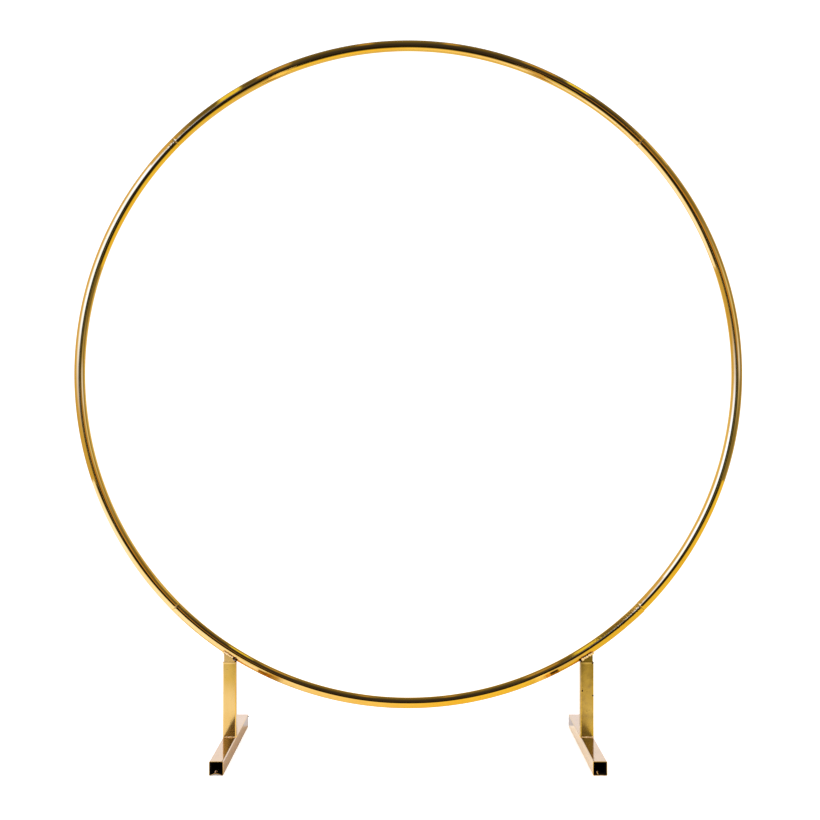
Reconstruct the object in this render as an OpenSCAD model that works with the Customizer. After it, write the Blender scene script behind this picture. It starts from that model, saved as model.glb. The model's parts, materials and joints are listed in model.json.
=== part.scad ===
// Round hoop stand for wreaths, garlands and balloons.
// A hoop of four round-tube arcs, joined by spigots, stands on two inverted-T feet of square tube.
// Origin: on the floor, under the middle of the hoop. +X runs across the hoop, +Z is up.

/* [Hoop] */
// Outside diameter of the hoop
hoop_od = 1500; // [1300:50:1800]
// Outside diameter of the round tube
tube_od = 25; // [24:1:28]
// Wall thickness of the round tube
tube_wall = 1.2; // [1:0.1:1.5]
// Gap between the end faces of two neighbouring arcs
joint_gap = 1; // [0.4:0.1:1.5]

/* [Spigots] */
// Length fixed inside the arc that carries the spigot
spigot_fixed_len = 32; // [20:1:50]
// Length that the next arc slides over, without the tip
spigot_free_len = 25; // [15:1:26]
// Length of the tapered tip
spigot_tip_len = 4; // [2:1:5]
// Wall thickness of the sliding length
spigot_wall = 1.5; // [1:0.1:2]
// Radial clearance of the fixed length in its arc
spigot_seat_clearance = 0.05; // [0.02:0.01:0.1]
// Radial clearance of the sliding length, which leaves the curved bore in a straight line
spigot_slide_clearance = 0.8; // [0.8:0.05:1.2]
// How much smaller the end of the tip is, in radius
spigot_tip_taper = 0.6; // [0.4:0.1:0.8]
// Step in the wall where two lengths of a spigot meet
spigot_step = 0.2; // [0.1:0.1:0.3]

/* [Feet] */
// Distance between the middles of the two feet
foot_spacing = 800; // [700:10:900]
// Outside width of the square tube
foot_tube = 30; // [30:1:34]
// Wall thickness of the square tube
foot_wall = 1.5; // [1.2:0.1:1.8]
// Outside corner radius of the square tube
foot_corner_r = 2.5; // [2:0.5:4]
// Length of a base bar, front to back
base_bar_len = 600; // [400:10:800]
// Height of an upright above its base bar
upright_len = 168; // [120:1:250]

/* [Stubs] */
// Outside width of the square stub
stub_tube = 25; // [22:1:25]
// Wall thickness of the stub
stub_wall = 1.5; // [1:0.1:1.7]
// Outside corner radius of the stub
stub_corner_r = 2; // [1.8:0.1:3]
// Length of the stub inside the upright
stub_insert = 60; // [40:1:90]
// Clearance between the hoop and the inner top edge of the upright, which carries it
hoop_seat_clearance = 0.35; // [0.3:0.05:1]
// How far below the tube's middle line the stub's notched end stops
stub_cope_drop = 4; // [2:1:8]

/* [Welds] */
// Thickness of the bead around the top of a stub
stub_bead = 3; // [2:0.5:4]
// Radius of the beads in front of and behind the foot of an upright
foot_bead = 3; // [2:0.5:5]
// Radius of the beads that fill the grooves beside the foot of an upright
groove_bead = 1.9; // [1.6:0.1:2.2]
// How far inside the tube's corner the groove beads are centred
groove_bead_inset = 1.2; // [1:0.1:1.4]
// Gap left between a bead and the metal it lies on
bead_gap = 0.05; // [0.02:0.01:0.1]

/* [Hidden] */
section_fn = 96;
$fn = section_fn;
sweep_fn = 1440;
past = 1;
tube_r = tube_od / 2;
bore_r = tube_r - tube_wall;
hoop_r = hoop_od / 2;
centre_r = hoop_r - tube_r;
foot_x = foot_spacing / 2;
upright_top = foot_tube + upright_len;
seat_x = foot_x - foot_tube / 2;
hoop_z = upright_top + hoop_seat_clearance + sqrt(pow(hoop_r, 2) - pow(seat_x, 2));
cope_r = centre_r + stub_cope_drop;
gap_angle = asin(joint_gap / 2 / centre_r);
fixed_angle = spigot_fixed_len / centre_r * 180 / PI;
free_angle = spigot_free_len / centre_r * 180 / PI;
slide_r = bore_r - spigot_slide_clearance;
spigot_bore_r = slide_r - spigot_wall;
stub_bottom = upright_top - stub_insert;
stub_top = hoop_z - sqrt(pow(centre_r, 2) - pow(foot_x + stub_tube / 2, 2));
stub_angle = 270 - asin(foot_x / centre_r);
stub_ring_span = 6;

// Angles round the hoop are counted from +X towards +Z.
top_angle = 90;
left_angle = 180;
bottom_angle = 270;
right_angle = 0;
upper_left_joint = 135;
lower_left_joint = 225;

// Sweeps its children, drawn about the tube's middle line, round the hoop from one angle to another
module along_hoop(from, to) {
    translate([0, 0, hoop_z])
        rotate([90, 0, 0])
            rotate([0, 0, from])
                rotate_extrude(angle = to - from, $fn = sweep_fn)
                    translate([centre_r, 0])
                        children();
}

// Round section, with fewer sides than the long sweep round the hoop
module round_section(radius) {
    circle(radius, $fn = section_fn);
}

// Quarter of the hoop, centred on the given angle
module arc(middle) {
    along_hoop(middle - 45 + gap_angle, middle + 45 - gap_angle)
        difference() {
            round_section(tube_r);
            round_section(bore_r);
        }
}

// Wall of a spigot
module spigot_section(outer_r, inner_r) {
    difference() {
        round_section(outer_r);
        round_section(inner_r);
    }
}

// Spigot of a joint on the left side. It is fixed in the arc below it and slides in the one above.
// The sliding length runs on a little inside the fixed one, and its tip starts inside its wall.
module spigot(joint) {
    along_hoop(joint + gap_angle, joint + gap_angle + fixed_angle)
        spigot_section(bore_r - spigot_seat_clearance, spigot_bore_r + spigot_step);
    along_hoop(joint - free_angle, joint + 3 * gap_angle)
        spigot_section(slide_r, spigot_bore_r);
    translate([0, 0, hoop_z])
        rotate([90, 0, 0])
            rotate([0, 0, joint - free_angle])
                translate([centre_r, 0, 0])
                    rotate([90, 0, 0])
                        spigot_tip();
}

module spigot_tip() {
    root_r = slide_r - spigot_step;
    difference() {
        translate([0, 0, -past])
            cylinder(h = spigot_tip_len + past, r1 = root_r, r2 = root_r - spigot_tip_taper);
        translate([0, 0, -2 * past])
            cylinder(h = spigot_tip_len + 3 * past, r = spigot_bore_r + spigot_step);
    }
}

// Square with round corners
module rounded_square(size, corner_r) {
    flat = size - 2 * corner_r;
    square([size, flat], center = true);
    square([flat, size], center = true);
    for (x = [-flat / 2, flat / 2])
        for (y = [-flat / 2, flat / 2])
            translate([x, y])
                circle(corner_r);
}

// Section of a square tube
module square_tube_section(size, wall, corner_r) {
    difference() {
        rounded_square(size, corner_r);
        rounded_square(size - 2 * wall, corner_r - wall);
    }
}

// Block above the level at which the left stub's notched end stops, square to the hoop's radius there
module above_cope() {
    block = 3 * foot_tube;
    translate([0, 0, hoop_z])
        rotate([90, 0, 0])
            rotate([0, 0, stub_angle])
                translate([cope_r - block, -block / 2, -block / 2])
                    cube(block);
}

// The hoop's tube near the left stub, solid, grown by the given amount
module hoop_near_stub(growth) {
    along_hoop(stub_angle - stub_ring_span, stub_angle + stub_ring_span)
        round_section(tube_r + growth);
}

// Left stub, notched at the top to sit round the hoop's underside
module stub() {
    difference() {
        translate([-foot_x, 0, stub_bottom])
            linear_extrude(height = stub_top - stub_bottom)
                square_tube_section(stub_tube, stub_wall, stub_corner_r);
        above_cope();
        hoop_near_stub(bead_gap);
    }
}

// Bead round the front, back and outer side of the left stub's top, hugging the hoop
module stub_weld() {
    inner_x = -foot_x + stub_tube / 2;
    outer_x = -foot_x - stub_tube / 2 - stub_bead;
    depth = stub_tube + 2 * stub_bead;
    difference() {
        intersection() {
            hoop_near_stub(stub_bead);
            translate([outer_x, -depth / 2, stub_bottom])
                cube([inner_x - outer_x, depth, stub_top - stub_bottom]);
        }
        above_cope();
        hoop_near_stub(bead_gap);
        translate([-foot_x, 0, stub_bottom - past])
            linear_extrude(height = stub_top - stub_bottom + 2 * past)
                rounded_square(stub_tube + 2 * bead_gap, stub_corner_r);
    }
}

// Left upright, a square tube standing on its base bar
module upright() {
    translate([-foot_x, 0, foot_tube])
        linear_extrude(height = upright_len)
            square_tube_section(foot_tube, foot_wall, foot_corner_r);
}

// Left base bar, a square tube lying front to back on the floor
module base_bar() {
    translate([-foot_x, base_bar_len / 2, foot_tube / 2])
        rotate([90, 0, 0])
            linear_extrude(height = base_bar_len)
                square_tube_section(foot_tube, foot_wall, foot_corner_r);
}

// Beads round the foot of the left upright: fillets in front and behind, filled grooves beside it
module foot_weld() {
    half = foot_tube / 2;
    groove = half - groove_bead_inset;
    difference() {
        translate([-foot_x, 0, foot_tube]) {
            for (y = [-half, half])
                translate([0, y, 0])
                    rotate([0, 90, 0])
                        cylinder(h = 2 * groove, r = foot_bead, center = true);
            for (x = [-groove, groove])
                translate([x, 0, -groove_bead_inset])
                    rotate([90, 0, 0])
                        cylinder(h = foot_tube, r = groove_bead, center = true);
        }
        translate([-foot_x, 0, foot_tube])
            linear_extrude(height = upright_len)
                rounded_square(foot_tube + 2 * bead_gap, foot_corner_r);
        translate([-foot_x, base_bar_len / 2, foot_tube / 2])
            rotate([90, 0, 0])
                linear_extrude(height = base_bar_len)
                    rounded_square(foot_tube + 2 * bead_gap, foot_corner_r);
    }
}

// The right side is the left side's mirror image
module on_right() {
    mirror([1, 0, 0])
        children();
}

module bottom_arc() { color("goldenrod") arc(bottom_angle); }
module left_arc() { color("gold") arc(left_angle); }
module top_arc() { color("goldenrod") arc(top_angle); }
module right_arc() { color("gold") arc(right_angle); }
module lower_left_spigot() { color("silver") spigot(lower_left_joint); }
module lower_right_spigot() { color("silver") on_right() spigot(lower_left_joint); }
module upper_left_spigot() { color("silver") spigot(upper_left_joint); }
module upper_right_spigot() { color("silver") on_right() spigot(upper_left_joint); }
module left_stub() { color("khaki") stub(); }
module right_stub() { color("khaki") on_right() stub(); }
module left_stub_weld() { color("darkgoldenrod") stub_weld(); }
module right_stub_weld() { color("darkgoldenrod") on_right() stub_weld(); }
module left_upright() { color("burlywood") upright(); }
module right_upright() { color("burlywood") on_right() upright(); }
module left_base_bar() { color("tan") base_bar(); }
module right_base_bar() { color("tan") on_right() base_bar(); }
module left_foot_weld() { color("darkgoldenrod") foot_weld(); }
module right_foot_weld() { color("darkgoldenrod") on_right() foot_weld(); }

bottom_arc();
left_arc();
top_arc();
right_arc();
lower_left_spigot();
lower_right_spigot();
upper_left_spigot();
upper_right_spigot();
left_stub();
right_stub();
left_stub_weld();
right_stub_weld();
left_upright();
right_upright();
left_base_bar();
right_base_bar();
left_foot_weld();
right_foot_weld();
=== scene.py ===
"""Round hoop stand for wreaths: the looks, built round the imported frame."""

import json
import math
import random

import bmesh
import bpy
from mathutils import Matrix, Vector, noise

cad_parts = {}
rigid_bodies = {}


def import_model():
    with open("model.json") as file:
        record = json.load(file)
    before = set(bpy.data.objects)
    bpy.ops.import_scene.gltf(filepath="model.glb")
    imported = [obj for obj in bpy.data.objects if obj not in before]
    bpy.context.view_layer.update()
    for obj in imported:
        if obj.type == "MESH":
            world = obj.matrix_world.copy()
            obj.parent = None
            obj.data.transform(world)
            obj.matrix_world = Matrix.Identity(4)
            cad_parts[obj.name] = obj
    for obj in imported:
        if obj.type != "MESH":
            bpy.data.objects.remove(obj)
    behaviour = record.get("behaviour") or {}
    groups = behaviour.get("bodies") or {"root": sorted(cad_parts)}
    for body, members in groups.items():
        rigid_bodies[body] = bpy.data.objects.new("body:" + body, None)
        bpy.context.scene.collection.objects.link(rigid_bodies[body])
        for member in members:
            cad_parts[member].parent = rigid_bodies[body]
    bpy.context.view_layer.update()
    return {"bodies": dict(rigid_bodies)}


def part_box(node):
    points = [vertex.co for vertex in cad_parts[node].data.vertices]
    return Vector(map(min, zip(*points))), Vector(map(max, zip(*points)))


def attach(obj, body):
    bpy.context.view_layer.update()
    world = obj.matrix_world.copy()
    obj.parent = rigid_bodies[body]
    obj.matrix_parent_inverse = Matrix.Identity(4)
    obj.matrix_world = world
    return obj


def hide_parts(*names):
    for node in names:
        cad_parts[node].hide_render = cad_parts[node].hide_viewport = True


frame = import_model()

MM = 0.001


# ---------------------------------------------------------------- sizes

def middle(node):
    """Middle of a CAD node's box."""
    low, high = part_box(node)
    return (low + high) / 2


def sided(side, part):
    """Name of a part on the left (side -1) or the right (side 1)."""
    return ("left_" if side < 0 else "right_") + part


HOOP_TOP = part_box("top_arc")[1].z
HOOP_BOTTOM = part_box("bottom_arc")[0].z
HOOP_Z = (HOOP_TOP + HOOP_BOTTOM) / 2
TUBE_R = (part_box("top_arc")[1].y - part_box("top_arc")[0].y) / 2
RING_R = (HOOP_TOP - HOOP_BOTTOM) / 2 - TUBE_R
ROUND_WALL = 1.2 * MM
JOINT_GAP = 0.3 * MM
LIP = 0.5 * MM
INNER_SHARE = 0.5
LEFT_DROP = 8.5 * MM
RIGHT_DROP = 11 * MM

SQUARE_WALL = 1.5 * MM
FOOT_HALF = (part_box("left_upright")[1].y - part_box("left_upright")[0].y) / 2
FOOT_CORNER = 2.5 * MM
STUB_HALF = (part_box("left_stub")[1].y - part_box("left_stub")[0].y) / 2
STUB_CORNER = 2 * MM
STUB_LEAN = 0.8 * MM
ARCH_REACH = 9 * MM
SEAM_START = 1.6 * MM
SEAM_SHORT = 6 * MM
SPATTER = 3
WELD_VOXEL = 0.4 * MM
MARK_VOXEL = 0.2 * MM

SPIGOT_BORE = 2.3 * MM + ROUND_WALL
SPIGOT_FIXED = 32 * MM
SPIGOT_FREE = 29 * MM
SPIGOT_STEP = 0.75 * MM
SPIGOT_SEAT = 0.05 * MM

CAMERA_X = 3.9 * MM
CAMERA_Y = -4.155
CAMERA_Z = 0.762
FOCAL_LENGTH = 81.26
SENSOR = 36

RIGHT, TOP, LEFT, BOTTOM = 0, 90, 180, 270
QUARTER = math.radians(90)


# ---------------------------------------------------------------- node helpers

class Nodes:
    """Short way to build a node tree."""

    def __init__(self, tree):
        self.tree = tree
        tree.nodes.clear()

    def add(self, kind, inputs=None, **settings):
        node = self.tree.nodes.new("ShaderNode" + kind)
        for key, value in settings.items():
            setattr(node, key, value)
        for key, value in (inputs or {}).items():
            self.feed(node.inputs[key], value)
        return node

    def feed(self, socket, value):
        if isinstance(value, bpy.types.NodeSocket):
            self.tree.links.new(value, socket)
        else:
            socket.default_value = value

    def math(self, operation, a, b=0.0, clamp=False):
        node = self.add("Math", {0: a, 1: b}, operation=operation, use_clamp=clamp)
        return node.outputs[0]

    def noise(self, vector, scale, detail=3.0, rough=0.5):
        inputs = {"Vector": vector, "Scale": scale, "Detail": detail, "Roughness": rough}
        return self.add("TexNoise", inputs).outputs["Fac"]

    def between(self, value, low, high, to_low=0.0, to_high=1.0):
        inputs = {"Value": value, "From Min": low, "From Max": high}
        inputs.update({"To Min": to_low, "To Max": to_high})
        node = self.add("MapRange", inputs, interpolation_type="SMOOTHSTEP")
        return node.outputs["Result"]

    def mix(self, factor, a, b):
        node = self.add("Mix", data_type="RGBA")
        self.feed(node.inputs[0], factor)
        self.feed(node.inputs[6], a)
        self.feed(node.inputs[7], b)
        return node.outputs[2]


def rgba(red, green, blue):
    return (red, green, blue, 1.0)


# ---------------------------------------------------------------- materials

# Tint of the plating at grazing angles. The base bars are plain, and so is the left upright, which
# shares its bar's gold. Everything else is warm.
WARM_EDGE = rgba(1.0, 0.86, 0.6)
PLAIN_EDGE = rgba(1.0, 0.98, 0.93)
TONE_SCALE = 9.0
PATCH_SCALE = 60.0
PIT_SCALE = 210.0
POLISH_SCALE = 24.0
DIMPLE_SCALE = 330.0
MARKS_STRETCH = (18.0, 900.0, 1.0)
MARKS_HEIGHT = 0.012
PIT_DEPTH = 0.3
PIT_ROUGHNESS = 0.35
WORN_ROUGHNESS = 0.35
MOTTLED = rgba(0.36, 0.22, 0.07)
PITTED = rgba(0.12, 0.07, 0.03)
DARK_BROWN = rgba(0.25, 0.155, 0.03)
WORN_BRIGHT = rgba(1.0, 0.57, 0.085)
FROSTED = rgba(0.90, 0.66, 0.32)


def gold(name, pale, deep, rough_low, rough_high, dents, mottle, frost=0.0, edge=WARM_EDGE):
    """Polished plating: two tones, lengthwise polishing marks, soft dents and scattered pits.
    frost is how much of it is matt, as on weld metal that was plated without polishing."""
    material = bpy.data.materials.new(name)
    material.use_nodes = True
    n = Nodes(material.node_tree)
    place = n.add("TexCoord").outputs["Object"]
    along = n.add("UVMap", uv_map="along").outputs["UV"]
    tone = n.between(n.noise(place, TONE_SCALE), 0.35, 0.65)
    marks_at = n.add("Mapping", {"Vector": along, "Scale": MARKS_STRETCH}).outputs[0]
    marks = n.noise(marks_at, 1.0, 4.0, 0.6)
    patches = n.noise(place, PATCH_SCALE, 4.0, 0.55)
    cells = n.add("TexVoronoi", {"Vector": place, "Scale": PIT_SCALE})
    chosen = n.between(n.add("SeparateColor", {0: cells.outputs["Color"]}).outputs[0], 0.93, 0.94)
    pit = n.math("MULTIPLY", chosen, n.between(cells.outputs["Distance"], 0.10, 0.22, 1.0, 0.0))
    colour = n.mix(tone, pale, deep)
    mottled = n.math("MULTIPLY", n.between(patches, 0.45, 0.75), mottle)
    colour = n.mix(mottled, colour, MOTTLED)
    colour = n.mix(n.math("MULTIPLY", pit, 0.7), colour, PITTED)
    brown = n.add("Attribute", attribute_name="brown").outputs["Fac"]
    brown = n.math("MULTIPLY", brown, n.between(patches, 0.25, 0.60, 0.8, 1.0))
    colour = n.mix(brown, colour, DARK_BROWN)
    worn = n.add("Attribute", attribute_name="worn").outputs["Fac"]
    colour = n.mix(worn, colour, WORN_BRIGHT)
    polish = n.between(n.noise(place, POLISH_SCALE, 5.0, 0.6), 0.3, 0.75, rough_low, rough_high)
    roughness = n.math("ADD", polish, n.math("MULTIPLY", pit, PIT_ROUGHNESS), clamp=True)
    roughness = n.math("ADD", roughness, n.math("MULTIPLY", worn, WORN_ROUGHNESS), clamp=True)
    scuff = n.add("Attribute", attribute_name="scuff").outputs["Fac"]
    dimples = n.add("TexVoronoi", {"Vector": place, "Scale": DIMPLE_SCALE}, feature="SMOOTH_F1")
    knocks = dimples.outputs["Distance"]
    scratches = n.math("MULTIPLY", marks, MARKS_HEIGHT)
    height = n.math("ADD", scratches, n.math("MULTIPLY", patches, dents))
    height = n.math("SUBTRACT", height, n.math("MULTIPLY", pit, PIT_DEPTH))
    height = n.math("ADD", height, n.math("MULTIPLY", scuff, knocks))
    bump = n.add("Bump", {"Strength": 0.35, "Distance": 0.3 * MM, "Height": height})
    shader = n.add("BsdfPrincipled", {
        "Base Color": colour, "Metallic": 1.0, "Roughness": roughness, "Specular Tint": edge,
        "Normal": bump.outputs[0]})
    if frost:
        matt = n.add("BsdfDiffuse", {"Color": FROSTED, "Normal": bump.outputs[0]})
        shader = n.add("MixShader", {0: frost, 1: shader.outputs[0], 2: matt.outputs[0]})
    n.add("OutputMaterial", {"Surface": shader.outputs[0]})
    return material


def raw_steel(name, dark, light):
    """Unplated steel inside a tube: mill scale with rust-brown clouds."""
    material = bpy.data.materials.new(name)
    material.use_nodes = True
    n = Nodes(material.node_tree)
    place = n.add("TexCoord").outputs["Object"]
    clouds = n.noise(place, 140.0, 6.0, 0.65)
    colour = n.mix(n.between(clouds, 0.35, 0.7), dark, light)
    roughness = n.between(clouds, 0.3, 0.7, 0.7, 0.9)
    bump = n.add("Bump", {"Strength": 0.5, "Distance": 0.3 * MM, "Height": clouds})
    shader = n.add("BsdfPrincipled", {
        "Base Color": colour, "Specular IOR Level": 0.0, "Roughness": roughness,
        "Normal": bump.outputs[0]})
    n.add("OutputMaterial", {"Surface": shader.outputs[0]})
    return material


def turned_steel(name):
    """Spigot steel, thinly plated, with fine marks where the arcs rub."""
    material = bpy.data.materials.new(name)
    material.use_nodes = True
    n = Nodes(material.node_tree)
    place = n.add("TexCoord").outputs["Object"]
    along = n.add("UVMap", uv_map="along").outputs["UV"]
    rubbed_at = n.add("Mapping", {"Vector": along, "Scale": (60.0, 1400.0, 1.0)}).outputs[0]
    rubbed = n.noise(rubbed_at, 1.0, 4.0, 0.6)
    clouds = n.noise(place, 70.0, 4.0)
    colour = n.mix(n.between(clouds, 0.35, 0.7), rgba(0.86, 0.55, 0.09), rgba(0.74, 0.48, 0.09))
    bump = n.add("Bump", {"Strength": 0.3, "Distance": 0.1 * MM, "Height": rubbed})
    shader = n.add("BsdfPrincipled", {
        "Base Color": colour, "Metallic": 1.0, "Roughness": n.between(rubbed, 0.3, 0.7, 0.22, 0.42),
        "Specular Tint": WARM_EDGE, "Normal": bump.outputs[0]})
    n.add("OutputMaterial", {"Surface": shader.outputs[0]})
    return material


HOOP_GOLD = gold(
    "hoop_gold", rgba(0.92, 0.54, 0.09), rgba(0.88, 0.49, 0.07),
    0.035, 0.075, 0.10, 0.05)
LEFT_GOLD = gold(
    "left_foot_gold", rgba(0.91, 0.53, 0.09), rgba(0.87, 0.48, 0.07),
    0.07, 0.12, 0.10, 0.04, edge=PLAIN_EDGE)
RIGHT_GOLD = gold(
    "right_foot_gold", rgba(0.80, 0.50, 0.095), rgba(0.70, 0.42, 0.07),
    0.12, 0.22, 0.50, 0.50)
RIGHT_BAR_GOLD = gold(
    "right_bar_gold", rgba(0.86, 0.50, 0.08), rgba(0.80, 0.46, 0.07),
    0.09, 0.14, 0.20, 0.10, edge=PLAIN_EDGE)
LEFT_STUB_GOLD = gold(
    "left_stub_gold", rgba(1.0, 0.60, 0.145), rgba(1.0, 0.58, 0.13),
    0.10, 0.18, 0.30, 0.03)
RIGHT_STUB_GOLD = gold(
    "right_stub_gold", rgba(0.44, 0.27, 0.045), rgba(0.34, 0.20, 0.03),
    0.10, 0.18, 0.50, 0.40)
LEFT_WELD_GOLD = gold(
    "left_weld_gold", rgba(1.0, 0.62, 0.16), rgba(0.92, 0.50, 0.10),
    0.28, 0.40, 0.50, 0.12, 0.5)
RIGHT_WELD_GOLD = gold(
    "right_weld_gold", rgba(1.0, 0.68, 0.20), rgba(0.95, 0.56, 0.12),
    0.25, 0.38, 0.50, 0.12, 0.5)
SEAM_GOLD = gold(
    "seam_gold", rgba(0.90, 0.50, 0.14), rgba(0.70, 0.36, 0.09),
    0.25, 0.40, 0.5, 0.3)
INSIDE = raw_steel("raw_inside", rgba(0.012, 0.010, 0.009), rgba(0.045, 0.030, 0.020))
# Dark burnt oxide for pits and burrs; at the left stub's inner corner it also stands in as painted
# shade.
OXIDE_AND_SHADE = raw_steel("burnt_oxide_and_shade", rgba(0.010, 0.007, 0.005), rgba(0.060, 0.030, 0.015))
SPIGOT_STEEL = turned_steel("spigot_steel")
# Grey for a painted glint: the pale light seen through the gap at the left stub's inner corner.
GAP_GLINT_GREY = raw_steel("gap_glint_grey", rgba(0.22, 0.20, 0.21), rgba(0.42, 0.39, 0.41))


# ---------------------------------------------------------------- tube meshes

def circle_outline(radius, sides):
    """Outline function of a round tube: (u, v, normal u, normal v) at an inset from the outside."""
    def outline(inset):
        turns = [2 * math.pi * i / sides for i in range(sides)]
        reach = radius - inset
        return [(reach * math.cos(t), reach * math.sin(t), math.cos(t), math.sin(t)) for t in turns]
    return outline


def square_outline(half, corner, steps=6, edge=0.25 * MM):
    """Outline function of a square tube with round corners and flat faces held by edge loops."""
    def outline(inset):
        side = half - inset
        radius = max(corner - inset, 0.25 * MM)
        flat = side - radius
        points = []
        for k in range(4):
            start = k * QUARTER
            centre = (flat * (1 if k in (0, 3) else -1), flat * (1 if k in (0, 1) else -1))
            for i in range(steps + 1):
                t = start + QUARTER * i / steps
                nu, nv = math.cos(t), math.sin(t)
                points.append((centre[0] + radius * nu, centre[1] + radius * nv, nu, nv))
            nu, nv = math.cos(start + QUARTER), math.sin(start + QUARTER)
            loops = (flat - edge, flat * 0.6, flat * 0.2, -flat * 0.2, -flat * 0.6, edge - flat)
            for share in loops:
                points.append((side * nu + share * nv, side * nv - share * nu, nu, nv))
        return points
    return outline


def wall_stations(start, end, wall, outside_steps, inside_steps, lip=LIP, lip_steps=4):
    """Stations (position, inset) once round a tube's wall: along the outside, over one rounded end,
    back along the inside and over the other end."""
    span = end - start - 2 * lip
    turns = [QUARTER * i / lip_steps for i in range(1, lip_steps)]
    outside = [(start + lip + span * i / outside_steps, 0.0) for i in range(outside_steps + 1)]
    far = [(end - lip + lip * math.sin(t), lip * (1 - math.cos(t))) for t in turns]
    far += [(end, lip), (end, wall - lip)]
    far += [(end - lip + lip * math.cos(t), wall - lip + lip * math.sin(t)) for t in turns]
    inside = [(end - lip - span * i / inside_steps, wall) for i in range(inside_steps + 1)]
    near = [(start + lip - lip * math.sin(t), wall - lip * (1 - math.cos(t))) for t in turns]
    near += [(start, wall - lip), (start, lip)]
    near += [(start + lip - lip * math.cos(t), lip - lip * math.sin(t)) for t in turns]
    return outside + far + inside + near


def finish_mesh(name, mesh, body, materials, nodes=()):
    """Turns a mesh into a piece that rides on a body and stands for CAD nodes."""
    piece = bpy.data.objects.new(name, mesh)
    bpy.context.scene.collection.objects.link(piece)
    for material in materials:
        mesh.materials.append(material)
    mesh.polygons.foreach_set("use_smooth", [True] * len(mesh.polygons))
    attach(piece, body)
    if nodes:
        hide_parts(*nodes)
    return piece


def shell(stations, outline, place, wall, dent=None, brown=None, worn=None, scuff=None):
    """Closed skin of a hollow tube. Material 0 is the outside and the ends' outer half, 1 the rest.
    dent pushes the outside inwards. brown, of a point, tints it. worn and scuff, of a station,
    brighten and roughen it."""
    mesh = bpy.data.meshes.new("shell")
    points, browns, worns, scuffs = [], [], [], []
    rings = {}
    for s, inset in stations:
        if inset not in rings:
            rings[inset] = outline(inset)
        worn_here = worn(s) if worn else 0.0
        scuff_here = scuff(s) if scuff else 0.0
        for u, v, nu, nv in rings[inset]:
            push = dent(s, u, v) if dent and inset < wall / 2 else 0.0
            points.append(place(s, u - nu * push, v - nv * push))
            browns.append(brown(points[-1]) if brown else 0.0)
            worns.append(worn_here)
            scuffs.append(scuff_here)
    base = outline(0.0)
    count = len(base)
    steps = [math.dist(base[i][:2], base[(i + 1) % count][:2]) for i in range(count)]
    reach = [sum(steps[:i]) for i in range(count + 1)]
    faces, uvs, inner = [], [], []
    total = len(stations)
    for k in range(total):
        after = (k + 1) % total
        for i in range(count):
            j = (i + 1) % count
            faces.append((k * count + i, k * count + j, after * count + j, after * count + i))
            s0, s1 = stations[k][0], stations[after][0]
            uvs += [(s0, reach[i]), (s0, reach[i + 1]), (s1, reach[i + 1]), (s1, reach[i])]
            inner.append(min(stations[k][1], stations[after][1]) > wall * INNER_SHARE)
    mesh.from_pydata(points, [], faces)
    layer = mesh.uv_layers.new(name="along")
    layer.data.foreach_set("uv", [c for uv in uvs for c in uv])
    for kind, values in (("brown", browns), ("worn", worns), ("scuff", scuffs)):
        mesh.attributes.new(kind, "FLOAT", "POINT").data.foreach_set("value", values)
    mesh.polygons.foreach_set("material_index", [1 if flag else 0 for flag in inner])
    turn_outwards(mesh)
    return mesh


def turn_outwards(mesh):
    work = bmesh.new()
    work.from_mesh(mesh)
    bmesh.ops.recalc_face_normals(work, faces=work.faces)
    work.to_mesh(mesh)
    work.free()


def rod(points, radii, sides=12):
    """Closed round rod of changing thickness through points."""
    mesh = bpy.data.meshes.new("rod")
    spine = [Vector(p) for p in points]
    verts, faces = [], []
    for i, p in enumerate(spine):
        ahead = spine[min(i + 1, len(spine) - 1)] - spine[max(i - 1, 0)]
        side = ahead.orthogonal().normalized() if i == 0 else side
        side = (side - ahead.normalized() * side.dot(ahead.normalized())).normalized()
        up = ahead.normalized().cross(side)
        for k in range(sides):
            t = 2 * math.pi * k / sides
            verts.append(p + (side * math.cos(t) + up * math.sin(t)) * radii[i])
    for i in range(len(spine) - 1):
        for k in range(sides):
            n = (k + 1) % sides
            faces.append((i * sides + k, i * sides + n, (i + 1) * sides + n, (i + 1) * sides + k))
    faces.append(tuple(reversed(range(sides))))
    faces.append(tuple(range((len(spine) - 1) * sides, len(spine) * sides)))
    mesh.from_pydata(verts, [], faces)
    turn_outwards(mesh)
    return mesh


def ring_place(distance, u, v):
    """Point at a distance along the hoop's middle line, counted as arc length from +X."""
    angle = distance / RING_R
    reach = RING_R + u
    return Vector((reach * math.cos(angle), -v, HOOP_Z + reach * math.sin(angle)))


# ---------------------------------------------------------------- hoop

ARC_SIDES = 72
ARC_STEPS = 300
ARC_INSIDE_STEPS = 80
RIPPLE_REACH = 45 * MM
FLARE_REACH = 14 * MM
LIFT_REACH = 60 * MM
WORN_REACH = 1.1 * MM


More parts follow.
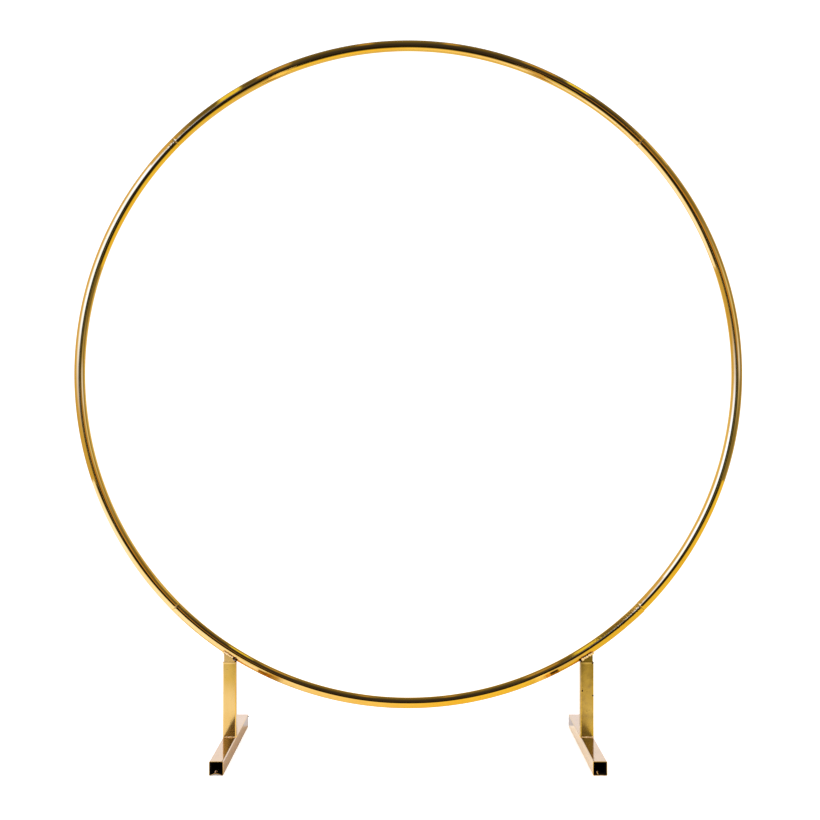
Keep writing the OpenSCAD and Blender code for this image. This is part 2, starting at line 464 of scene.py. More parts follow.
def arc(name, body, middle_angle, seed, scuffs, lift=0.0):
    """Quarter of the hoop: bent tube with faint waves left by the bending rolls.
    scuffs are (end, strength, reach), where end is -1 at its first joint and 1 at its last.
    lift is how far its last end is flared and bent outwards."""
    centre = math.radians(middle_angle) * RING_R
    half = QUARTER / 2 * RING_R - JOINT_GAP / 2
    drift = Vector((seed * 3.1, seed * 1.7, seed * 5.3))

    def waves(s, u, v):
        broad = 1 + noise.noise(Vector((s * 14, u * 60, v * 60)) + drift)
        fine = 1 + noise.noise(Vector((s * 70, u * 90, v * 90)) + drift)
        near_end = math.exp(-(half - abs(s - centre)) / RIPPLE_REACH)
        flare = lift * 0.5 * math.exp(-(centre + half - s) / FLARE_REACH) if lift else 0.0
        return (broad * 0.10 + fine * 0.02 * (1 + 3 * near_end)) * MM - flare

    def place(s, u, v):
        return ring_place(s, u + lift * math.exp(-(centre + half - s) / LIFT_REACH), v)

    def worn(s):
        return 0.9 * math.exp(-((half - abs(s - centre)) / WORN_REACH) ** 2)

    def scuff(s):
        total = 0.0
        for end, strength, reach in scuffs:
            away = (half - end * (s - centre)) / reach
            total += strength * math.exp(-away ** 2)
        return total

    stations = wall_stations(
        centre - half, centre + half, ROUND_WALL, ARC_STEPS, ARC_INSIDE_STEPS)
    mesh = shell(
        stations, circle_outline(TUBE_R, ARC_SIDES), place, ROUND_WALL, waves, worn=worn, scuff=scuff)
    node = name.replace("_tube", "")
    return finish_mesh(name, mesh, body, [HOOP_GOLD, INSIDE], [node])


def spigot(name, body, joint_angle, side):
    """Stepped inner tube. side is the way its free length points: -1 back along the angle, 1 on."""
    joint = math.radians(joint_angle) * RING_R
    bore = TUBE_R - ROUND_WALL
    wall = bore - SPIGOT_SEAT - (TUBE_R - SPIGOT_BORE)
    tip = 4 * MM
    outer = [(-SPIGOT_FIXED, 0.4), (-SPIGOT_FIXED + 0.4 * MM, 0.0), (-0.4 * MM, 0.0), (0.0, 0.15)]
    outer = [(s, inset * MM) for s, inset in outer]
    outer += [(0.1 * MM, SPIGOT_STEP * 0.8), (0.4 * MM, SPIGOT_STEP)]
    outer += [(SPIGOT_FREE - tip, SPIGOT_STEP), (SPIGOT_FREE - 0.3 * MM, SPIGOT_STEP + 0.5 * MM),
              (SPIGOT_FREE, SPIGOT_STEP + 0.8 * MM)]
    profile = []
    for (s0, i0), (s1, i1) in zip(outer, outer[1:]):
        pieces = max(1, round((s1 - s0) / (2 * MM)))
        for k in range(pieces):
            profile.append((s0 + (s1 - s0) * k / pieces, i0 + (i1 - i0) * k / pieces))
    profile.append(outer[-1])
    length = SPIGOT_FIXED + SPIGOT_FREE
    profile += [(SPIGOT_FREE - length * k / 16, wall) for k in range(17)]
    stations = [(joint + side * s, inset) for s, inset in profile]
    mesh = shell(stations, circle_outline(bore - SPIGOT_SEAT, 64), ring_place, wall)
    node = name.replace("_sleeve", "")
    return finish_mesh(name, mesh, body, [SPIGOT_STEEL, INSIDE], [node])


# ---------------------------------------------------------------- feet

def underside(x, y, drop):
    """Height of the hoop's underside at x, y, no closer to its middle line than drop."""
    below = math.sqrt(max(TUBE_R ** 2 - y ** 2, 0.0))
    return HOOP_Z - math.sqrt((RING_R + max(below, drop)) ** 2 - x ** 2)


def stub(side, drop, burn, scorch):
    """Square stub, notched to the hoop and leaning on its upright's outer and front walls.
    drop is how far below the hoop's middle line its front and back walls stop,
    burn is how far its inner corner is burnt away by the weld, and scorch how brown it is."""
    name = sided(side, "stub")
    low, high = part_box(name)
    lean = STUB_LEAN
    cx = (low.x + high.x) / 2 + side * lean

    def place(share, u, v):
        top = underside(cx + u, v - lean, drop)
        inner = max(0.0, (-side * u - 5 * MM) / (STUB_HALF - 5 * MM))
        top -= burn * inner ** 2
        return Vector((cx + u, v - lean, low.z + (top - low.z) * share))

    def brown(point):
        below = underside(point.x, point.y, drop) - point.z
        return min(1.0, scorch * math.exp(-max(below, 0.0) / (30 * MM)))

    lip_share = LIP / (high.z - low.z)
    stations = []
    for s, inset in wall_stations(0.0, 1.0, SQUARE_WALL, 24, 12):
        end = LIP if s < 0.5 else 1 - LIP
        straight = LIP <= s <= 1 - LIP
        stations.append((s if straight else end + (s - end) * lip_share / LIP, inset))
    outline = square_outline(STUB_HALF, STUB_CORNER)
    mesh = shell(stations, outline, place, SQUARE_WALL, brown=brown)
    material = LEFT_STUB_GOLD if side < 0 else RIGHT_STUB_GOLD
    return finish_mesh(name + "_tube", mesh, "hoop_base", [material, INSIDE], [name])


def upright(side, seed, top_darkening):
    """Square upright. Its sawn top is pressed outwards a little, all round.
    top_darkening is how much darker and browner its corners get near the top, on the left and on the
    right. Just above its foot it is a little darker and browner all round."""
    name = sided(side, "upright")
    low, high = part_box(name)
    cx = (low.x + high.x) / 2
    flare = 0.45 * MM
    drift = Vector((seed * 2.3, seed * 4.1, seed))

    def soft(s, u, v):
        wave = (1 + noise.noise(Vector((u * 40, v * 40, s * 22)) + drift)) * 0.06 * MM
        return wave - flare * max(0.0, 1 - (high.z - s) / (3.5 * MM)) ** 2

    def place(s, u, v):
        return Vector((cx + u, v, s))

    def brown(point):
        u = (point.x - cx) / FOOT_HALF
        at_corner = min(abs(u), abs(point.y) / FOOT_HALF, 1.0) ** 1.3
        at_top = top_darkening[0 if u < 0 else 1] * at_corner * math.exp(-(high.z - point.z) / (40 * MM))
        return min(1.0, at_top + 0.30 * math.exp(-(point.z - low.z) / (4 * MM)))

    stations = wall_stations(low.z, high.z, SQUARE_WALL, 84, 20)
    outline = square_outline(FOOT_HALF, FOOT_CORNER)
    mesh = shell(stations, outline, place, SQUARE_WALL, soft, brown)
    body = sided(side, "foot")
    material = LEFT_GOLD if side < 0 else RIGHT_GOLD
    return finish_mesh(name + "_tube", mesh, body, [material, INSIDE], [name])


def base_bar(side, arch, seed):
    """Square bar on the floor. arch is how far the front edge of its bottom wall is bent up."""
    name = sided(side, "base_bar")
    low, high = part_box(name)
    cx = (low.x + high.x) / 2
    cz = (low.z + high.z) / 2
    drift = Vector((seed * 2.9, seed * 1.3, seed * 7))

    def soft(s, u, v):
        return (1 + noise.noise(Vector((u * 40, s * 16, v * 40)) + drift)) * 0.05 * MM

    def place(s, u, v):
        rise = 0.0
        if v < 0:
            middle_share = max(0.0, 1 - (u / (12 * MM)) ** 2)
            ragged = 1 + 0.5 * noise.noise(Vector((u * 420, seed * 3.7, 0.0)))
            rise = arch * ragged * middle_share * math.exp(-(s - low.y) / ARCH_REACH)
            rise *= min(1.0, -v / (12 * MM))
        return Vector((cx + u, s, cz + v + rise))

    def worn(s):
        return 0.6 * math.exp(-((s - low.y) / (0.8 * MM)) ** 2)

    stations = wall_stations(low.y, high.y, SQUARE_WALL, 160, 60)
    outline = square_outline(FOOT_HALF, FOOT_CORNER)
    mesh = shell(stations, outline, place, SQUARE_WALL, soft, worn=worn)
    body = sided(side, "foot")
    material = LEFT_GOLD if side < 0 else RIGHT_BAR_GOLD
    return finish_mesh(name + "_tube", mesh, body, [material, INSIDE], [name])


def seam(side, offset, arch, rise, lean, curl, turn, seed):
    """Welded seam along the inside of a bar's bottom wall, offset from its middle. At the front end
    its loose metal stands up by rise, leans by lean, and hooks over with radius curl through turn
    degrees."""
    name = sided(side, "base_bar")
    low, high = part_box(name)
    cx = (low.x + high.x) / 2 + offset
    draw = random.Random(seed)
    top = low.z + SQUARE_WALL
    front = low.y + SEAM_START
    points, radii = [], []
    hook = Vector((cx + lean + curl, front, top + arch + rise))
    for k in range(9):
        angle = math.radians(180 - turn + turn * k / 8)
        points.append(hook + Vector((curl * math.cos(angle), 0.0, curl * math.sin(angle))))
        radii.append((0.5 + 0.07 * k) * MM)
    for k in (0.66, 0.33):
        points.append(Vector((cx + lean * k, front, top + arch + rise * k)))
        radii.append(1.15 * MM)
    steps = 110
    for k in range(steps + 1):
        s = SEAM_START + (high.y - low.y - SEAM_SHORT) * k / steps
        points.append(Vector((cx + draw.uniform(-0.15, 0.15) * MM, low.y + s,
                              top + arch * math.exp(-s / ARCH_REACH))))
        radii.append(draw.uniform(0.9, 1.25) * MM)
    mesh = rod(points, radii)
    body = sided(side, "foot")
    return finish_mesh(name + "_seam", mesh, body, [SEAM_GOLD])


# ---------------------------------------------------------------- welds

def lump(work, centre, size, turn=0.0, detail=2):
    """Adds one flattened drop of weld metal."""
    spin = Matrix.Rotation(turn, 4, "Y")
    shape = Matrix.Translation(centre) @ spin @ Matrix.Diagonal((*size, 1.0))
    bmesh.ops.create_icosphere(work, subdivisions=detail, radius=1.0, matrix=shape)


def melt(work, voxel, seed, ripple):
    """Joins the lumps into one skin and roughens it a little."""
    mesh = bpy.data.meshes.new("weld")
    work.to_mesh(mesh)
    work.free()
    holder = bpy.data.objects.new("melting", mesh)
    bpy.context.scene.collection.objects.link(holder)
    remesh = holder.modifiers.new("join", "REMESH")
    remesh.mode = "VOXEL"
    remesh.voxel_size = voxel
    smooth = holder.modifiers.new("soften", "SMOOTH")
    smooth.iterations = 3
    graph = bpy.context.evaluated_depsgraph_get()
    joined = bpy.data.meshes.new_from_object(holder.evaluated_get(graph))
    bpy.data.objects.remove(holder)
    drift = Vector((seed, seed * 0.7, seed * 1.9))
    for vertex in joined.vertices:
        at = vertex.co * 600 + drift
        vertex.co += vertex.normal * noise.noise(at) * ripple
    layer = joined.uv_layers.new(name="along")
    for loop in joined.loops:
        co = joined.vertices[loop.vertex_index].co
        layer.data[loop.index].uv = (co.x + co.y, co.z)
    return joined


def bead(work, path, radius, pitch, draw, flat=0.75):
    """Row of drops along a path of points, a pitch apart."""
    spine = [Vector(p) for p in path]
    reach = [0.0]
    for a, b in zip(spine, spine[1:]):
        reach.append(reach[-1] + (b - a).length)
    count = max(1, round(reach[-1] / pitch))
    for drop_number in range(count):
        goal = reach[-1] * (drop_number + draw.uniform(0.3, 0.7)) / count
        k = max(i for i in range(len(spine) - 1) if reach[i] <= goal)
        at = spine[k].lerp(spine[k + 1], (goal - reach[k]) / (reach[k + 1] - reach[k]))
        size = radius * draw.uniform(0.8, 1.2)
        wobble = Vector([draw.uniform(-0.15, 0.15) * radius for _ in range(3)])
        lump(work, at + wobble, (size, size * flat, size * draw.uniform(0.8, 1.05)))


def stub_weld(side, drop, radius, pitch, gap_inside, seed):
    """Bead round the stub's top: front, outer side and back. gap_inside leaves the inner end
    open."""
    name = sided(side, "stub_weld")
    stub_low, stub_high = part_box(sided(side, "stub"))
    cx = (stub_low.x + stub_high.x) / 2
    draw = random.Random(seed)
    work = bmesh.new()
    outer = STUB_HALF + 0.3 * radius
    inner = STUB_HALF - gap_inside
    steps = 6
    for face in (-1, 1):
        y = face * (STUB_HALF + 0.3 * MM)
        path = []
        for k in range(steps + 1):
            x = cx + side * (outer - (outer + inner) * k / steps)
            path.append((x, y, underside(x, y, drop)))
        bead(work, path, radius, pitch, draw)
    path = []
    for k in range(steps + 1):
        y = (STUB_HALF - 0.3 * radius) * (2 * k / steps - 1)
        x = cx + side * outer
        path.append((x, y, underside(x, y, drop) - 0.3 * radius))
    bead(work, path, radius, pitch, draw, 1.0)
    for _ in range(SPATTER):
        x = cx + draw.uniform(-1, 1) * STUB_HALF * 0.8
        z = underside(x, -STUB_HALF, drop) - draw.uniform(4, 9) * MM
        size = draw.uniform(0.35, 0.7) * MM
        lump(work, Vector((x, -STUB_HALF, z)), (size, size * 0.8, size))
    mesh = melt(work, WELD_VOXEL, seed, 0.15 * MM)
    material = LEFT_WELD_GOLD if side < 0 else RIGHT_WELD_GOLD
    return finish_mesh(name + "_bead", mesh, "hoop_base", [material], [name])


def foot_weld(side, seed):
    """Beads round the foot of an upright."""
    name = sided(side, "foot_weld")
    low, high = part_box(sided(side, "upright"))
    cx = (low.x + high.x) / 2
    floor = low.z
    draw = random.Random(seed)
    work = bmesh.new()
    for face in (-1, 1):
        y = face * (FOOT_HALF + 0.3 * MM)
        left = cx - FOOT_HALF + 2 * MM
        right = cx + FOOT_HALF - 2 * MM
        above = floor + 0.3 * MM
        bead(work, [(left, y, above), (right, y, above)], 1.7 * MM, 2.6 * MM, draw, 0.9)
        x = cx + face * (FOOT_HALF - 0.8 * MM)
        bead(work, [(x, -FOOT_HALF, floor - 0.8 * MM), (x, FOOT_HALF, floor - 0.8 * MM)],
             1.3 * MM, 2.2 * MM, draw, 1.0)
    mesh = melt(work, WELD_VOXEL, seed, 0.12 * MM)
    body = sided(side, "foot")
    material = LEFT_WELD_GOLD if side < 0 else RIGHT_WELD_GOLD
    return finish_mesh(name + "_bead", mesh, body, [material], [name])


def marks(name, body, material, spots, seed):
    """Burnt specks, pits, stray drops, and lumps of painted shade and painted glints: flat lumps on a
    surface. spots are (point, radius).
    """
    draw = random.Random(seed)
    work = bmesh.new()
    for point, radius in spots:
        for _ in range(3):
            off = Vector([draw.uniform(-0.4, 0.4) * radius for _ in range(3)])
            size = (radius * 0.8, radius * 0.35, radius * draw.uniform(0.7, 1.0))
            lump(work, Vector(point) + off, size)
    mesh = melt(work, MARK_VOXEL, seed, 0.05 * MM)
    return finish_mesh(name, mesh, body, [material])


# ---------------------------------------------------------------- build

arc("bottom_arc_tube", "hoop_base", BOTTOM, 1, [(-1, 0.5, 50 * MM), (1, 1.6, 110 * MM)], 0.8 * MM)
arc("left_arc_tube", "left_side", LEFT, 2, [(-1, 1.6, 30 * MM), (1, 0.5, 40 * MM)])
arc("top_arc_tube", "hoop_top", TOP, 3, [(-1, 0.9, 70 * MM), (1, 0.8, 60 * MM)])
arc("right_arc_tube", "right_side", RIGHT, 4, [(-1, 0.4, 30 * MM), (1, 0.8, 40 * MM)])
spigot("lower_left_spigot_sleeve", "hoop_base", joint_angle=225, side=-1)
spigot("lower_right_spigot_sleeve", "hoop_base", joint_angle=315, side=1)
spigot("upper_left_spigot_sleeve", "left_side", joint_angle=135, side=-1)
spigot("upper_right_spigot_sleeve", "right_side", joint_angle=45, side=1)

LEFT_ARCH = 3.8 * MM
RIGHT_ARCH = 0.5 * MM
stub(-1, LEFT_DROP, burn=2 * MM, scorch=0.04)
stub(1, RIGHT_DROP, burn=0.0, scorch=0.3)
stub_weld(-1, LEFT_DROP, radius=2.6 * MM, pitch=4.4 * MM, gap_inside=5 * MM, seed=11)
stub_weld(1, RIGHT_DROP, radius=3.1 * MM, pitch=6.2 * MM, gap_inside=0.0, seed=12)
upright(-1, seed=21, top_darkening=(0.12, 0.55))
upright(1, seed=22, top_darkening=(1.3, 0.8))
base_bar(-1, LEFT_ARCH, seed=31)
base_bar(1, RIGHT_ARCH, seed=32)
seam(-1, -1.8 * MM, LEFT_ARCH, rise=3.0 * MM, lean=0.0, curl=2.0 * MM, turn=200, seed=41)
seam(1, -4.0 * MM, RIGHT_ARCH, rise=6.0 * MM, lean=-2.6 * MM, curl=1.6 * MM, turn=120, seed=42)
foot_weld(-1, seed=51)
foot_weld(1, seed=52)

right_low, right_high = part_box("right_upright")
FRONT = right_low.y - 0.1 * MM
marks("right_upright_pits", "right_foot", OXIDE_AND_SHADE, [
    ((right_low.x + 4.5 * MM, FRONT, right_low.z + 104 * MM), 2.1 * MM),
    ((right_high.x - 2.2 * MM, FRONT, right_low.z + 93 * MM), 2.1 * MM),
    ((right_high.x - 2.2 * MM, FRONT, right_high.z - 1.5 * MM), 2.2 * MM),
], 61)

left_stub_low, left_stub_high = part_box("left_stub")
# Dark lumps at the left stub's inner front corner, just above the upright's mouth: partly a burnt
# weld spot, partly painted shade of the gap between stub, hoop and upright.
BURN_AND_SHADE = Vector((left_stub_high.x - 1.8 * MM, left_stub_low.y - 0.6 * MM, right_high.z + 4.6 * MM))
ABOVE_BURN_AND_SHADE = BURN_AND_SHADE + Vector((0.0, 0.0, 2 * MM))
GLINT_IN_GAP = BURN_AND_SHADE - Vector((0.0, 1.4 * MM, 0.6 * MM))
marks("left_stub_burn_and_shade", "hoop_base", OXIDE_AND_SHADE, [(BURN_AND_SHADE, 3.2 * MM), (ABOVE_BURN_AND_SHADE, 3.0 * MM)], 62)
# Grey lump in front of them: a painted glint of the pale light that shows through that gap.
marks("left_stub_gap_glint", "hoop_base", GAP_GLINT_GREY, [(GLINT_IN_GAP, 1.3 * MM)], 63)

left_bar_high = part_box("left_base_bar")[1]
BURR = Vector((left_bar_high.x + 0.5 * MM, left_bar_high.y - 1.5 * MM, left_bar_high.z - 5 * MM))
BURR_TIP = BURR + Vector((1.0 * MM, 0.0, 0.3 * MM))
marks("left_bar_burr", "left_foot", OXIDE_AND_SHADE, [(BURR, 1.3 * MM), (BURR_TIP, 0.9 * MM)], 64)


# ---------------------------------------------------------------- studio

ROOM_SIDE = 2.6
ROOM_FRONT = -4.6
ROOM_BACK = 2.5
ROOM_LOW = -0.1
ROOM_HIGH = 3.0


def plate(name, low, high, material):
    """Flat rectangle between two opposite corners, which share one coordinate."""
    low, high = Vector(low), Vector(high)
    flat = min(range(3), key=lambda k: abs(high[k] - low[k]))
    across, up = [k for k in range(3) if k != flat]
    corners = []
    for a, b in ((0, 0), (1, 0), (1, 1), (0, 1)):
        corner = low.copy()
        corner[across] = (low[across], high[across])[a]
        corner[up] = (low[up], high[up])[b]
        corners.append(corner)
    mesh = bpy.data.meshes.new(name)
    mesh.from_pydata(corners, [], [(0, 1, 2, 3)])
    card = bpy.data.objects.new(name, mesh)
    bpy.context.scene.collection.objects.link(card)
    mesh.materials.append(material)
    return card


def card(name, low, high, paint):
    """Wall of the studio that shows only in reflections. paint(n, x, y, z) gives its colour."""
    material = bpy.data.materials.new(name)
    material.use_nodes = True
    n = Nodes(material.node_tree)
    place = n.add("SeparateXYZ", {0: n.add("NewGeometry").outputs["Position"]}).outputs
    light = n.add("Emission", {"Color": paint(n, place[0], place[1], place[2]), "Strength": 1.0})
    n.add("OutputMaterial", {"Surface": light.outputs[0]})
    wall = plate(name, low, high, material)
    wall.visible_camera = False
    wall.visible_diffuse = False
    wall.visible_transmission = False
    wall.visible_volume_scatter = False
    wall.visible_shadow = False
    return wall


def grey(level):
    return rgba(level, level, level)


# Colours of the reflected room. They were fitted to the photo through the gold, which takes out
# most of the blue, so the whites are strongly blue here.
# In the functions below x, y and z are metres in the room, and the first two numbers of between()
# are where a ramp starts and ends.
WHITE_BOX = rgba(1.25, 2.15, 13.0)
SOFT_GLOW = rgba(0.80, 0.90, 1.5)
DARK = rgba(0.052, 0.055, 0.14)
DEEP = rgba(0.012, 0.013, 0.030)
BLACK = rgba(0.0, 0.0, 0.0)
WHITE = rgba(1.0, 1.0, 1.0)


def left_wall(n, x, y, z):
    """Large softbox above a dim strip, ending beside the hoop."""
    high = n.between(z, 0.35, 1.55)
    wall = n.mix(high, rgba(0.64, 0.60, 0.45), rgba(0.80, 0.80, 1.0))
    wall = n.mix(n.between(y, -4.4, -1.6, 0.35, 0.0), wall, grey(0.2))
    return n.mix(n.math("MULTIPLY", high, n.between(y, -2.0, -0.3, 1.0, 0.0)), wall, WHITE_BOX)


def right_wall(n, x, y, z):
    """Brown wall with a small softbox low down and a warmer glow round it."""
    near = n.math("MULTIPLY", n.between(y, -4.4, -2.4), n.between(y, -1.7, -0.2, 1.0, 0.0))
    strip = n.math("MULTIPLY", n.between(z, 0.35, 1.1), n.between(z, 1.5, 2.5, 1.0, 0.0))
    wall = n.mix(n.between(y, -0.5, 1.2), grey(0.22), grey(0.62))
    wall = n.mix(n.math("MULTIPLY", near, strip), wall, SOFT_GLOW)
    core = n.math("MULTIPLY", n.between(z, 0.75, 0.95), n.between(z, 1.0, 1.3, 1.0, 0.0))
    return n.mix(n.math("MULTIPLY", n.math("MULTIPLY", near, core), 0.3), wall, WHITE_BOX)


LAMP = rgba(0.95, 1.05, 0.45)
DIM_LAMP = rgba(0.50, 0.42, 0.30)
LAMP_FAR_END = 1.0
# Middle x, half width, near end and colour of each ceiling lamp.
LAMPS = (
    (-1.36, 0.11, -3.0, LAMP),
    (1.26, 0.11, -0.9, LAMP),
    (-0.95, 0.14, -1.5, DIM_LAMP),
    (0.92, 0.14, -0.6, DIM_LAMP),
    (-0.28, 0.05, -0.6, DIM_LAMP),
    (0.28, 0.05, -0.6, DIM_LAMP),
)


def strip_lamp(n, base, x, y, middle_x, half, near, far, colour):
    """Ceiling lamp that runs front to back."""
    aside = n.math("ABSOLUTE", n.math("SUBTRACT", x, middle_x))
    inside = n.between(aside, half - 0.03, half + 0.03, 1.0, 0.0)
    inside = n.math("MULTIPLY", inside, n.between(y, near - 0.3, near + 0.3))
    inside = n.math("MULTIPLY", inside, n.between(y, far - 0.2, far + 0.2, 1.0, 0.0))
    return n.mix(inside, base, colour)


def ceiling(n, x, y, z):
    """Dark towards the camera, with strip lamps and the left softbox's glow."""
    dark = n.mix(n.between(y, -4.4, -2.6), DEEP, DARK)
    seen = n.mix(n.between(x, -1.8, -0.4), grey(0.22), dark)
    seen = n.mix(n.between(y, -2.0, -0.6), seen, grey(0.11))
    seen = n.mix(n.between(y, -0.5, 0.2), seen, grey(0.22))
    for middle_x, half, near, colour in LAMPS:
        seen = strip_lamp(n, seen, x, y, middle_x, half, near, LAMP_FAR_END, colour)
    seen = n.mix(n.between(x, -2.3, -1.7, 1.0, 0.0), seen, rgba(0.72, 0.68, 0.70))
    on_right = n.mix(n.between(y, -1.5, 0.6), grey(0.20), grey(0.75))
    seen = n.mix(n.between(x, 1.7, 2.4), seen, on_right)
    by_box = n.between(y, -4.0, -1.2, 1.0, 0.0)
    glow = n.math("MULTIPLY", n.between(x, -2.6, -1.9, 1.0, 0.0), by_box)
    return n.mix(n.math("MULTIPLY", glow, 0.7), seen, WHITE_BOX)


def camera_side(n, x, y, z):
    """Dark room behind the camera, with the softbox's end on the left and a wooden shelf on the
    right."""
    where = n.add("CombineXYZ", {0: x, 1: y, 2: z}).outputs[0]
    faint = n.mix(n.between(z, 0.6, 1.6), rgba(0.030, 0.026, 0.030), rgba(0.085, 0.080, 0.11))
    dark = n.mix(n.between(n.noise(where, 1.6, 4.0, 0.6), 0.46, 0.66), DEEP, faint)
    dark = n.mix(n.between(z, 1.9, 2.7), dark, DARK)
    shelf = n.math("MULTIPLY", n.between(x, 0.3, 1.2), n.between(z, 0.85, 1.25))
    shelf = n.math("MULTIPLY", shelf, n.between(z, 2.1, 2.8, 1.0, 0.0))
    dark = n.mix(shelf, dark, rgba(0.66, 0.44, 0.22))
    low = n.math("MULTIPLY", n.between(z, 0.35, 0.55), n.between(z, 0.95, 1.15, 1.0, 0.0))
    left_end = n.math("MULTIPLY", n.between(x, -1.15, -0.95), n.between(x, -0.90, -0.83, 1.0, 0.0))
    right_end = n.math("MULTIPLY", n.between(x, 0.60, 0.75), n.between(x, 0.95, 1.15, 1.0, 0.0))
    dark = n.mix(n.math("MULTIPLY", low, left_end), dark, SOFT_GLOW)
    dark = n.mix(n.math("MULTIPLY", low, right_end), dark, rgba(0.30, 0.42, 0.60))
    box = n.math("MULTIPLY", n.between(x, -2.5, -0.8, 1.0, 0.0), n.between(z, 0.6, 1.5))
    return n.mix(box, dark, WHITE_BOX)


def backdrop(n, x, y, z):
    """White paper that ends above the hoop."""
    return n.mix(n.between(z, 1.9, 2.5), rgba(0.91, 0.99, 1.38), grey(0.32))


DOME = 1.3
FLOOR_GLOW = 0.35
BAR_X = middle("right_base_bar").x
BAR_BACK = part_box("right_base_bar")[1].y


def floor_in_reflections(n, x, y, z):
    """White floor as it shows in reflections, with light and shade painted in: it fades into painted
    shade towards the camera, is cooler on the left where the blue stands for brighter light, is
    plainer round the feet and has painted contact shade beside the bars.
    """
    # Painted pool of light: the strongly blue floor on the left stands for floor lit brighter there.
    cool = n.mix(n.between(x, -1.6, -0.8, 0.5, 0.0), rgba(1.20, 1.50, 4.2), rgba(1.15, 1.55, 5.0))
    cool = n.mix(n.between(y, -2.4, -0.5), rgba(1.0, 1.05, 1.2), cool)
    tint = n.mix(n.between(x, -0.7, 0.15, 1.0, 0.0), rgba(1.09, 1.02, 0.45), cool)
    tint = n.mix(n.between(x, 0.15, 0.6), tint, rgba(0.92, 0.89, 0.34))
    # Painted fall-off of light: the floor darkens to DEEP towards the camera, where little light
    # reaches it.
    near = n.between(y, -2.3, -0.9, 0.03, 1.0)
    fade = n.math("MULTIPLY", near, n.between(y, -4.0, -2.2, 0.2, 1.0))
    tint = n.mix(fade, DEEP, tint)
    on_right = n.between(x, -0.1, 0.1)
    reach = n.math("ABSOLUTE", x)
    before = n.mix(on_right, rgba(0.79, 0.84, 0.80), rgba(0.57, 0.55, 0.38))
    close = n.mix(on_right, rgba(1.03, 1.19, 2.6), rgba(0.85, 0.88, 1.1))
    by_feet = n.mix(n.between(y, -1.15, -0.80), before, close)
    aside = n.math("ABSOLUTE", n.math("SUBTRACT", reach, 0.45))
    there = n.math("MULTIPLY", n.between(aside, 0.07, 0.12, 1.0, 0.0), n.between(y, -2.6, -2.1))
    there = n.math("MULTIPLY", there, n.between(y, -0.40, -0.22, 1.0, 0.0))
    tint = n.mix(there, tint, by_feet)
    behind = n.math("MULTIPLY", n.between(y, 0.0, 0.15), n.between(reach, 0.7, 0.9, 1.0, 0.0))
    tint = n.mix(behind, tint, rgba(0.86, 0.88, 0.92))
    # Painted contact shade on the floor beside the bars' inner walls: darker and warm beside the left
    # bar, where the bar's gold is painted in as a reflection too, brighter beside the right one, and
    # bluish beyond their back ends where no shade falls.
    inward = n.math("SUBTRACT", BAR_X, reach)
    painted_shade_by_bar = n.mix(on_right, rgba(0.69, 0.58, 0.49), rgba(1.29, 1.29, 1.32))
    beyond = n.between(y, BAR_BACK - 0.01, BAR_BACK + 0.03)
    painted_shade_by_bar = n.mix(beyond, painted_shade_by_bar, rgba(0.64, 0.66, 0.80))
    from_bar = n.between(inward, -0.015, 0.0)
    inside = n.math("MULTIPLY", from_bar, n.between(inward, 0.03, 0.06, 1.0, 0.0))
    tint = n.mix(inside, tint, painted_shade_by_bar)
    return n.mix(1 - 1 / DOME, tint, BLACK)


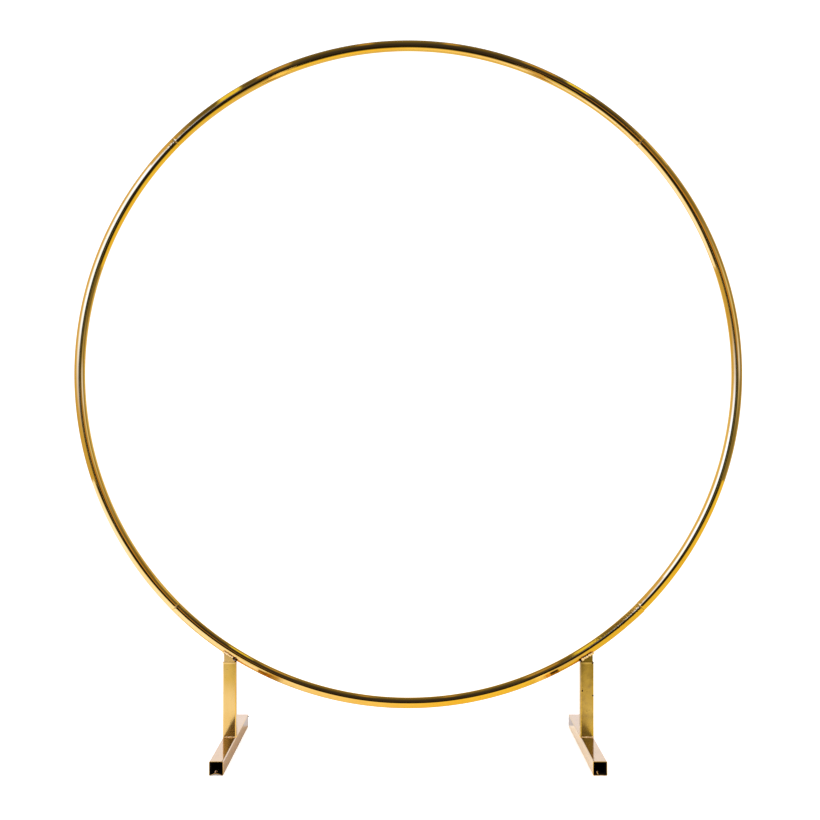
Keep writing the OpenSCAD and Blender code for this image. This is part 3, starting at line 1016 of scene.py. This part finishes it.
def pale_floor():
    """Plain white floor, with a look of its own in reflections."""
    material = bpy.data.materials.new("pale_floor")
    material.use_nodes = True
    n = Nodes(material.node_tree)
    where = n.add("NewGeometry").outputs["Position"]
    place = n.add("SeparateXYZ", {0: where}).outputs
    paper = n.mix(n.noise(where, 30.0), rgba(0.93, 0.93, 0.93), rgba(0.96, 0.96, 0.96))
    seen = floor_in_reflections(n, place[0], place[1], place[2])
    glossy = n.add("LightPath").outputs["Is Glossy Ray"]
    shader = n.add("BsdfDiffuse", {"Color": n.mix(glossy, paper, seen)})
    not_glossy = n.math("SUBTRACT", 1.0, glossy)
    strength = n.math("MULTIPLY", not_glossy, FLOOR_GLOW)
    lit_from_below = n.add("Emission", {"Color": WHITE, "Strength": strength})
    both = n.add("AddShader", {0: shader.outputs[0], 1: lit_from_below.outputs[0]})
    n.add("OutputMaterial", {"Surface": both.outputs[0]})
    return material


def room():
    """Even white dome, which lights the floor and is the backdrop."""
    world = bpy.data.worlds.new("studio")
    bpy.context.scene.world = world
    world.use_nodes = True
    n = Nodes(world.node_tree)
    dome = n.add("Background", {"Color": WHITE, "Strength": DOME})
    n.add("OutputWorld", {"Surface": dome.outputs[0]})


def sink_with(floor, body):
    """Keeps the floor no higher than a foot, so that a lowered foot still stands on it."""
    limit = floor.constraints.new("FLOOR")
    limit.target = frame["bodies"][body]
    limit.floor_location = "FLOOR_NEGATIVE_Z"


ground = plate("floor", (-ROOM_SIDE, ROOM_FRONT, 0), (ROOM_SIDE, ROOM_BACK, 0), pale_floor())
sink_with(ground, "left_foot")
sink_with(ground, "right_foot")
LOW_CORNER = (-ROOM_SIDE, ROOM_FRONT, ROOM_LOW)
HIGH_CORNER = (ROOM_SIDE, ROOM_BACK, ROOM_HIGH)
card("left_card", LOW_CORNER, (-ROOM_SIDE, ROOM_BACK, ROOM_HIGH), left_wall)
card("right_card", (ROOM_SIDE, ROOM_FRONT, ROOM_LOW), HIGH_CORNER, right_wall)
card("ceiling_card", (-ROOM_SIDE, ROOM_FRONT, ROOM_HIGH), HIGH_CORNER, ceiling)
card("front_card", LOW_CORNER, (ROOM_SIDE, ROOM_FRONT, ROOM_HIGH), camera_side)
card("back_card", (-ROOM_SIDE, ROOM_BACK, ROOM_LOW), HIGH_CORNER, backdrop)
room()


# ---------------------------------------------------------------- camera

def camera():
    data = bpy.data.cameras.new("camera")
    data.sensor_width = SENSOR
    data.lens = FOCAL_LENGTH
    eye = bpy.data.objects.new("camera", data)
    bpy.context.scene.collection.objects.link(eye)
    eye.location = (CAMERA_X, CAMERA_Y, CAMERA_Z)
    eye.rotation_euler = (QUARTER, 0, 0)
    bpy.context.scene.camera = eye


camera()
bpy.context.scene.view_settings.view_transform = "Standard"
